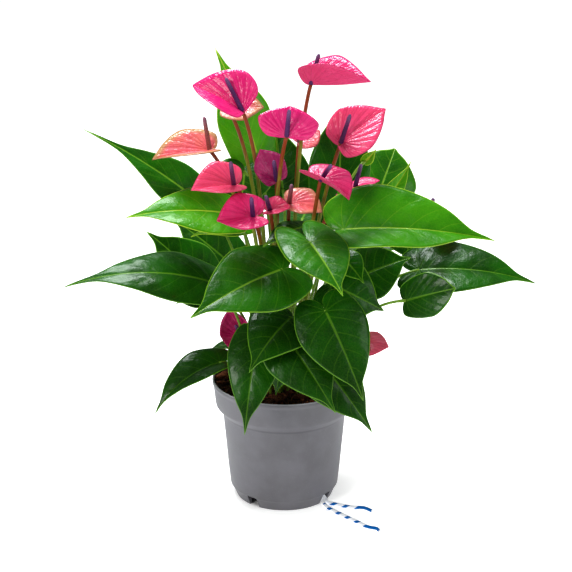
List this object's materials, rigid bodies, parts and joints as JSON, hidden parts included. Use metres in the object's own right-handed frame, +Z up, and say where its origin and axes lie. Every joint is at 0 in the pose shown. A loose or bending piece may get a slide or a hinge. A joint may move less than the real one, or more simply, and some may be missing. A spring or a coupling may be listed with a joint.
{
  "type": "potted flamingo flower",
  "caption": "Flamingo flower plant with heart-shaped leaves and pink spathes around slender spadices, in a round grey nursery pot with a wick trailing from its base.",
  "frame": {"origin": "on the pot's axis, in the plane of the surface that the pot stands on", "axes": "+Z up along the pot's axis, -Y towards the front of the plant (the side that the wick comes out of), +X to the right seen from the front; millimetres in the source, metres here"},
  "size_m": [0.3812, 0.2835, 0.378],
  "materials": {
    "pot": "matte grey moulded plastic, faintly mottled",
    "potting_mix": "rough dark peat and bark, slightly moist",
    "wick": "braided white cord with blue flecks",
    "leaf": "glossy leathery green leaf with paler veins",
    "spathe": "waxy glossy pink with radiating veins",
    "flower_stalk": "smooth satin stalk, olive green to red-brown",
    "small_flower": "waxy purple-pink young flower"
  },
  "bodies": {
    "root": {"flower_stalk_01": "flower_stalk", "flower_stalk_02": "flower_stalk", "flower_stalk_03": "flower_stalk", "flower_stalk_04": "flower_stalk", "flower_stalk_05": "flower_stalk", "flower_stalk_06": "flower_stalk", "flower_stalk_07": "flower_stalk", "flower_stalk_08": "flower_stalk", "flower_stalk_09": "flower_stalk", "flower_stalk_10": "flower_stalk", "leaf_01": "leaf", "leaf_02": "leaf", "leaf_03": "leaf", "leaf_04": "leaf", "leaf_05": "leaf", "leaf_06": "leaf", "leaf_07": "leaf", "leaf_08": "leaf", "leaf_09": "leaf", "leaf_10": "leaf", "leaf_11": "leaf", "leaf_12": "leaf", "leaf_13": "leaf", "leaf_14": "leaf", "leaf_15": "leaf", "leaf_16": "leaf", "leaf_17": "leaf", "leaf_18": "leaf", "leaf_19": "leaf", "leaf_20": "leaf", "leaf_21": "leaf", "leaf_22": "leaf", "leaf_23": "leaf", "leaf_24": "leaf", "leaf_25": "leaf", "leaf_26": "leaf", "leaf_27": "leaf", "pot": "pot", "potting_mix": "potting_mix", "small_flower_01": "small_flower", "small_flower_02": "small_flower", "small_flower_03": "small_flower", "small_flower_04": "small_flower", "small_flower_05": "small_flower", "small_flower_06": "small_flower", "small_flower_07": "small_flower", "small_flower_08": "small_flower", "spathe_01": "spathe", "spathe_02": "spathe", "spathe_03": "spathe", "spathe_04": "spathe", "spathe_05": "spathe", "spathe_06": "spathe", "spathe_07": "spathe", "spathe_08": "spathe", "spathe_09": "spathe", "spathe_10": "spathe", "wick_end_01": "wick", "wick_end_02": "wick", "wick_loop": "wick"}
  },
  "joints": []
}
